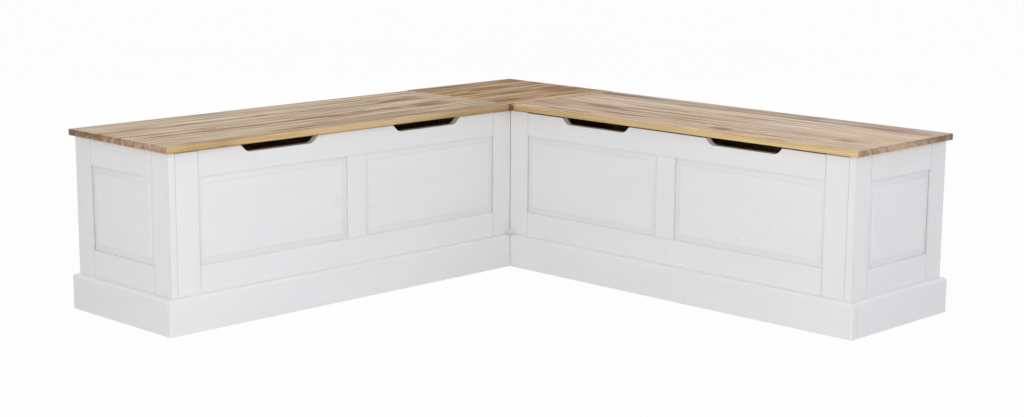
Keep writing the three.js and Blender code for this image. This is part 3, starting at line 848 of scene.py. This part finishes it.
def grainGroup():  # writes where each point lies in its board: along, across and through the grain
    places = dict.fromkeys(("Origin", "Along", "Across", "Through", "Inward"))
    shades = dict.fromkeys(("Side Shade", "End Shade", "Wall Shade"), 0.0)
    takes = {**places, "Seed": 0.0, "Half Size": None, **shades}
    tree, given, wanted = startGroup("Lay grain", takes, (), "GeometryNodeTree")
    offset = vectorCalc("SUBTRACT", makeNode(tree, "GeometryNodeInputPosition").outputs[0], given["Origin"])
    normal = makeNode(tree, "GeometryNodeInputNormal").outputs[0]

    def dot(vector, direction):
        return vectorCalc("DOT_PRODUCT", vector, given[direction], output="Value")

    end = above(absolute(dot(normal, "Along")), squarely)
    onWall = above(absolute(dot(normal, "Across")), squarely)
    inside = above(dot(normal, "Inward"), squarely)
    sideShare = times(given["Side Shade"], minus(1.0, onWall))
    endShare = times(given["End Shade"], minus(1.0, end))
    geometry = given["Geometry"]
    for name, domain, value in (
        ("grainPoint", "POINT", gathered(*(dot(offset, way) for way in ("Along", "Across", "Through")))),
        ("faceKind", "FACE", gathered(end, inside, given["Seed"])),
        ("halfSize", "FACE", given["Half Size"]),
        ("creviceShares", "FACE", gathered(sideShare, endShare, times(onWall, given["Wall Shade"]))),
    ):
        store = makeNode(tree, "GeometryNodeStoreNamedAttribute", data_type="FLOAT_VECTOR", domain=domain)
        for label, fed in (("Geometry", geometry), ("Name", name), ("Value", value)):
            feed(store.inputs[label], fed)
        geometry = store.outputs["Geometry"]
    feed(wanted["Geometry"], geometry)
    return tree


weldAndSmooth = weldGroup()
layGrain = grainGroup()


def addObject(name, data):
    thing = bpy.data.objects.new(name, data)
    bpy.context.scene.collection.objects.link(thing)
    return thing


def addNodes(piece, group, **values):
    modifier = piece.modifiers.new(group.name, "NODES")
    modifier.node_group = group
    for item in group.interface.items_tree:
        if item.in_out == "INPUT" and item.name in values:
            value = values[item.name]
            modifier[item.identifier] = [float(x) for x in value] if hasattr(value, "__len__") else float(value)


def boardFrame(name):  # a board's grain runs along its longest side
    low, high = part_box(name)
    size = high - low
    order = sorted(range(3), key=lambda axis: -size[axis])
    along, across, through = (Matrix.Identity(3)[axis].copy() for axis in order)
    half = [size[axis] / 2 for axis in order[:2]] + [0.0]
    return {"Origin": (low + high) / 2, "Along": along, "Across": across, "Through": through, "Half Size": half}


def dress(name, finish, edge=0.0, seed=0.0, layout=None, sharp=neverSharp, **paint):
    piece = solids[name]
    piece.data.materials.clear()
    piece.data.materials.append(finish)
    addNodes(piece, weldAndSmooth, **{"Sharp Angle": sharp})
    if edge > 0:
        bevel = piece.modifiers.new("Eased edges", "BEVEL")
        bevel.width = edge
        bevel.segments = 2
        bevel.limit_method = "ANGLE"
        bevel.angle_limit = easedFrom
    addNodes(piece, layGrain, **{**(layout or boardFrame(name)), "Seed": seed, **paint})
    weighted = piece.modifiers.new("Even shading", "WEIGHTED_NORMAL")
    weighted.keep_sharp = True
    weighted.weight = 100


arms = {  # which way is inside, seen from each side of an arm
    "right": {"front": (0, 1, 0), "end": (-1, 0, 0), "back": (0, -1, 0)},
    "left": {"front": (-1, 0, 0), "end": (0, 1, 0), "back": (1, 0, 0)},
}
edges = {"stile": 0.0014, "rail": 0.0006, "panel": 0.0006, "plinth": 0.0003, "bare": 0.0008, "batten": 0.0010}
shading = {  # shares of the painted shade, of the long sides, the ends and the narrow faces
    "stile": (0.45, 0.0, 1.1),
    "rail": (0.0, 1.5, 0.0),
    # on the plinths the negative narrow-face share paints a highlight on the upper ledge
    "plinth_front": (0.0, 2.6, -0.68),
    "left_plinth_end": (0.0, 0.3, -0.68),
    "right_plinth_end": (0.0, 1.6, -0.68),
    "end_front_stile": (0.5, 0.0, 0.0),
    "front_muntin": (0.45, 0.0, 1.0),
    # these stiles' large end shares paint the shadow of the gap under the lid at their top ends
    "left_front_inner_stile": (0.45, 4.0, 1.1),
    "right_front_outer_stile": (0.45, 5.0, 1.1),
}
tenonLength = 0.0078
plinthOffset = 0.01
# the rails whose upper edge gets the painted shadow of the gap under the lid
lidGapRails = ("right_front_top_rail",)
innerCorner = (-0.35465, 0.35465)  # where the lids' front edges meet
seatDepth = 0.408
topHeight = 0.450

frameNames = (
    "front_inner_stile", "front_outer_stile", "front_muntin", "front_top_rail", "front_bottom_rail",
    "plinth_front", "end_front_stile", "end_rear_stile", "end_top_rail", "end_bottom_rail", "plinth_end",
    "back_top_rail", "back_bottom_rail",
)
otherNames = (  # names, finish, eased edge
    (("partition", "lid_inner_batten", "lid_outer_batten"), bareFinish, edges["batten"]),
    (("back_panel", "floor_panel"), plywoodFinish, edges["panel"]),
)
fittingNames = (
    (("hinge_carcase_leaf", "hinge_lid_leaf", "hinge_pin"), zincFinish),
    (("inner_bumper", "middle_bumper", "outer_bumper"), feltFinish),
)


def framePaint(side, name, inwards):  # where a painted board lies, which way is inside, and its shades
    piece = f"{side}_{name}"
    kind = "rail" if name.endswith("rail") else "stile"
    layout = boardFrame(piece)
    inset = tenonLength if kind == "rail" or name == "front_muntin" else 0.0
    if name == "plinth_front":  # set off its middle, so that only its inner end gets the painted shade
        layout["Origin"] -= Vector(inwards["end"]) * plinthOffset
        inset = -plinthOffset
    halfLong, halfWide = layout["Half Size"][:2]
    layout["Half Size"] = (halfLong - inset, halfWide, float(piece in lidGapRails))
    shades = shading.get(piece, shading.get(name, shading[kind]))
    paint = dict(zip(("Side Shade", "End Shade", "Wall Shade"), shades))
    edge = edges["plinth" if name.startswith("plinth") else kind]
    inner = name.removeprefix("plinth_").split("_")[0]  # front, end or back
    return {"edge": edge, "layout": layout, "Inward": inwards[inner], **paint}


seedCount = 0
for side, inwards in arms.items():
    for name in frameNames:
        seedCount += 1
        dress(f"{side}_{name}", frameFinish, seed=seedCount, **framePaint(side, name, inwards))
    for name, inner in (("front_inner_panel", "front"), ("front_outer_panel", "front"), ("end_panel", "end")):
        seedCount += 1
        dress(f"{side}_{name}", panelFinish, edges["panel"], seedCount, Inward=inwards[inner])
    for names, finish, edge in otherNames:
        for name in names:
            seedCount += 1
            dress(f"{side}_{name}", finish, edge, seedCount)
    for names, finish in fittingNames:
        for name in names:
            dress(f"{side}_{name}", finish, sharp=fittingSharp)

rightOrigin = (innerCorner[0], innerCorner[1] + seatDepth, topHeight)
leftOrigin = (innerCorner[0] - seatDepth, innerCorner[1], topHeight)
rightLayout = {"Origin": rightOrigin, "Along": (1, 0, 0), "Across": (0, -1, 0), "Through": (0, 0, -1)}
leftLayout = {"Origin": leftOrigin, "Along": (0, -1, 0), "Across": (1, 0, 0), "Through": (0, 0, -1)}
dress("right_lid", rightTopFinish, layout=rightLayout, seed=1)
dress("left_lid", leftTopFinish, layout=leftLayout, seed=2)
dress("corner_top", cornerTopFinish, layout=leftLayout, seed=3)
dress("corner_post", bareFinish, edges["bare"], 90)
dress("corner_back_right", plywoodFinish, edges["panel"], 91)
dress("corner_back_left", plywoodFinish, edges["panel"], 92)
print("solids dressed")


# Screws, in m, the cross recess in shares of the head's radius.

screwHead = {"rings": 7, "sides": 28, "crossWidth": 0.17, "crossLength": 0.62, "turns": (0.7, 0.3)}
hingeScrew = {
    **screwHead,
    "radius": 0.0021,
    "rise": 0.00020,
    "recess": 0.00014,
    "count": 14,
    "endInset": 0.03,
    "lidShift": 0.02,  # so that the two leaves' screws miss each other
    "fromEdge": 0.0055,
    "halfLeaf": 0.00025,  # from a leaf's middle to the face that looks at the other leaf
}
battenScrew = {**screwHead, "radius": 0.0036, "rise": 0.0013, "recess": 0.0010, "count": 3, "endInset": 0.045}
sheetScrew = {**battenScrew, "rise": 0.0009, "recess": 0.0007, "heights": (0.06, 0.17, 0.28, 0.39)}


def screwHeads(name, places, facing, look, body):
    mesh = bmesh.new()
    turn = Vector(facing).to_track_quat("Z", "Y").to_matrix().to_4x4()
    rings, sides = look["rings"], look["sides"]
    turnStep, turnStart = look["turns"]
    bottom = look["rise"] - look["recess"]
    for count, place in enumerate(places):
        spin = Matrix.Rotation(turnStep * count + turnStart, 4, "Z")
        move = Matrix.Translation(place) @ turn @ spin
        loops = []
        for ring in range(1, rings + 1):
            share = ring / rings
            loop = []
            for step in range(sides):
                angle = 2 * math.pi * step / sides
                x, y = share * math.cos(angle), share * math.sin(angle)
                z = look["rise"] * (1 - share ** 4) if ring < rings else 0.0
                if min(abs(x), abs(y)) < look["crossWidth"] and share < look["crossLength"]:
                    z = bottom
                loop.append(mesh.verts.new(move @ Vector((x * look["radius"], y * look["radius"], z))))
            loops.append(loop)
        middle = mesh.verts.new(move @ Vector((0, 0, bottom)))
        for step in range(sides):
            after = (step + 1) % sides
            mesh.faces.new((middle, loops[0][step], loops[0][after]))
            for inner, outer in zip(loops, loops[1:]):
                mesh.faces.new((inner[step], outer[step], outer[after], inner[after]))
        mesh.faces.new(list(reversed(loops[-1])))
    data = bpy.data.meshes.new(name)
    mesh.to_mesh(data)
    mesh.free()
    data.materials.append(zincFinish)
    heads = addObject(name, data)
    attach(heads, body)


def spacedOut(low, high, axis, across, height, inset, count):  # a row along x or y, in from both ends
    start, stop = low[axis] + inset, high[axis] - inset
    runs = [start + (stop - start) * index / (count - 1) for index in range(count)]
    return [Vector((across, run, height) if axis else (run, across, height)) for run in runs]


for axis, side in enumerate(arms):  # the right arm runs along x, the left one along y
    for leaf, shift, facing, body in (
        ("hinge_carcase_leaf", 0.0, (0, 0, 1), "carcase"),
        ("hinge_lid_leaf", hingeScrew["lidShift"], (0, 0, -1), f"{side}_lid_assembly"),
    ):
        low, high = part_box(f"{side}_{leaf}")
        height = (low.z + high.z) / 2 - facing[2] * hingeScrew["halfLeaf"]
        across = high.x - hingeScrew["fromEdge"] if axis else low.y + hingeScrew["fromEdge"]
        places = spacedOut(low, high, axis, across, height, hingeScrew["endInset"] + shift, hingeScrew["count"])
        screwHeads(f"{side}_{leaf}_screws", places, facing, hingeScrew, body)
    places = []
    for batten in ("lid_inner_batten", "lid_outer_batten"):
        low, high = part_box(f"{side}_{batten}")
        across = (low[axis] + high[axis]) / 2
        places += spacedOut(low, high, 1 - axis, across, low.z, battenScrew["endInset"], battenScrew["count"])
    screwHeads(f"{side}_batten_screws", places, (0, 0, -1), battenScrew, f"{side}_lid_assembly")

postLow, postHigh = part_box("corner_post")
postMiddle = (postLow + postHigh) / 2
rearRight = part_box("corner_back_right")[1].y
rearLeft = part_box("corner_back_left")[0].x
places = [Vector((postMiddle.x, rearRight, z)) for z in sheetScrew["heights"]]
screwHeads("corner_back_right_screws", places, (0, 1, 0), sheetScrew, "carcase")
places = [Vector((rearLeft, postMiddle.y, z)) for z in sheetScrew["heights"]]
screwHeads("corner_back_left_screws", places, (-1, 0, 0), sheetScrew, "carcase")
print("screws set")


# Floor, light and camera.

studio = {
    "floorSize": 60.0,
    "floorTone": (0.82, 0.82, 0.82, 1.0),
    "floorRoughness": (0.1, 0.85),  # the mottle's share and the least
    "floorSpecular": 0.1,
    "mottle": (6.0, 6.0, 6.0),
    "floorGlow": 0.96,  # how much of the floor's own white the camera sees
    "backdrop": (1.0, 1.0, 1.0, 1.0),
    "horizon": 0.70,  # the sky's light near the horizon and overhead
    "zenith": 0.72,
    "zenithHeight": 0.8,
}
lamps = {  # place, aim, size, power, colour
    "Left softbox": ((1.5, -3.2, 1.2), (-0.2, 0.3, 0.2), 1.6, 39, (1.0, 1.0, 1.0)),
    "Right softbox": ((3.2, -1.5, 1.2), (-0.3, 0.2, 0.2), 1.6, 23, (1.0, 1.0, 1.0)),
    "Far right window": ((5.5, 1.6, 2.2), (-0.3, -0.2, 0.2), 3.0, 32, (0.80, 0.86, 1.0)),
    "Rear right softbox": ((-1.6, 4.3, 1.5), (0.3, 0.5, 0.4), 2.0, 13, (1.0, 1.0, 1.0)),
    "Rear left softbox": ((-4.3, 1.6, 1.5), (-0.5, -0.3, 0.4), 2.0, 13, (1.0, 1.0, 1.0)),
}
cameraPlace = {
    "place": (3.16115, -3.21575, 1.1103),
    "turn": 44.240,  # degrees to the left of +Y
    "dip": 10.507,  # degrees below the horizon
    "tilt": 0.421,
    "lens": 65.36,
    "sensor": 36.0,
    "shift": (-0.0081, -0.0068),
}


def seenDirectly(tree):  # 1 for camera, glossy and transmission rays
    rays = makeNode(tree, "ShaderNodeLightPath").outputs
    seen = larger(rays["Is Camera Ray"], rays["Is Glossy Ray"])
    return larger(seen, rays["Is Transmission Ray"])


def mixedShaders(tree, share, first, second):
    return makeNode(tree, "ShaderNodeMixShader", share, first.outputs[0], second.outputs[0]).outputs[0]


def floorFinish():
    finish, tree, shader = startFinish("Pale floor")
    mottle = noisy(objectPlace(tree), studio["mottle"], detail=3.0)
    feed(shader.inputs["Roughness"], timesPlus(mottle, *studio["floorRoughness"]))
    feed(shader.inputs["Base Color"], studio["floorTone"])
    feed(shader.inputs["Specular IOR Level"], studio["floorSpecular"])
    glow = makeNode(tree, "ShaderNodeEmission", studio["backdrop"])
    mixed = mixedShaders(tree, times(seenDirectly(tree), studio["floorGlow"]), shader, glow)
    feed(tree.nodes["Material Output"].inputs["Surface"], mixed)
    return finish


half = studio["floorSize"] / 2
floorMesh = bpy.data.meshes.new("floor")
corners = [(-half, -half, 0), (half, -half, 0), (half, half, 0), (-half, half, 0)]
floorMesh.from_pydata(corners, [], [(0, 1, 2, 3)])
floorMesh.materials.append(floorFinish())
floor = addObject("floor", floorMesh)

world = bpy.data.worlds.new("Studio")
bpy.context.scene.world = world
world.use_nodes = True
sky = world.node_tree
sky.nodes.clear()
upwards = split(makeNode(sky, "ShaderNodeTexCoord").outputs["Generated"])[2]
around = makeNode(sky, "ShaderNodeBackground")
glow = ramped(upwards, 0.0, studio["zenithHeight"], studio["horizon"], studio["zenith"])
feed(around.inputs["Strength"], glow)
backdrop = makeNode(sky, "ShaderNodeBackground", studio["backdrop"])
makeNode(sky, "ShaderNodeOutputWorld", mixedShaders(sky, seenDirectly(sky), around, backdrop))

for name, (place, aim, size, power, colour) in lamps.items():
    light = bpy.data.lights.new(name, "AREA")
    light.shape = "SQUARE"
    light.size = size
    light.energy = power
    light.color = colour
    lamp = addObject(name, light)
    lamp.location = place
    lamp.rotation_euler = (Vector(aim) - Vector(place)).to_track_quat("-Z", "Y").to_euler()

cameraData = bpy.data.cameras.new("Camera")
cameraData.sensor_width = cameraPlace["sensor"]
cameraData.lens = cameraPlace["lens"]
cameraData.shift_x, cameraData.shift_y = cameraPlace["shift"]
camera = addObject("Camera", cameraData)
turned = Matrix.Rotation(math.radians(cameraPlace["turn"]), 4, "Z")
dipped = Matrix.Rotation(math.radians(90 - cameraPlace["dip"]), 4, "X")
tilted = Matrix.Rotation(math.radians(cameraPlace["tilt"]), 4, "Z")
camera.matrix_world = Matrix.Translation(cameraPlace["place"]) @ turned @ dipped @ tilted
bpy.context.scene.camera = camera
bpy.context.scene.view_settings.view_transform = "Standard"

finishTrees = [finish.node_tree for finish in bpy.data.materials if finish.use_nodes]
for tree in (sky, *bpy.data.node_groups, *finishTrees):
    spreadOut(tree)
print("studio set")
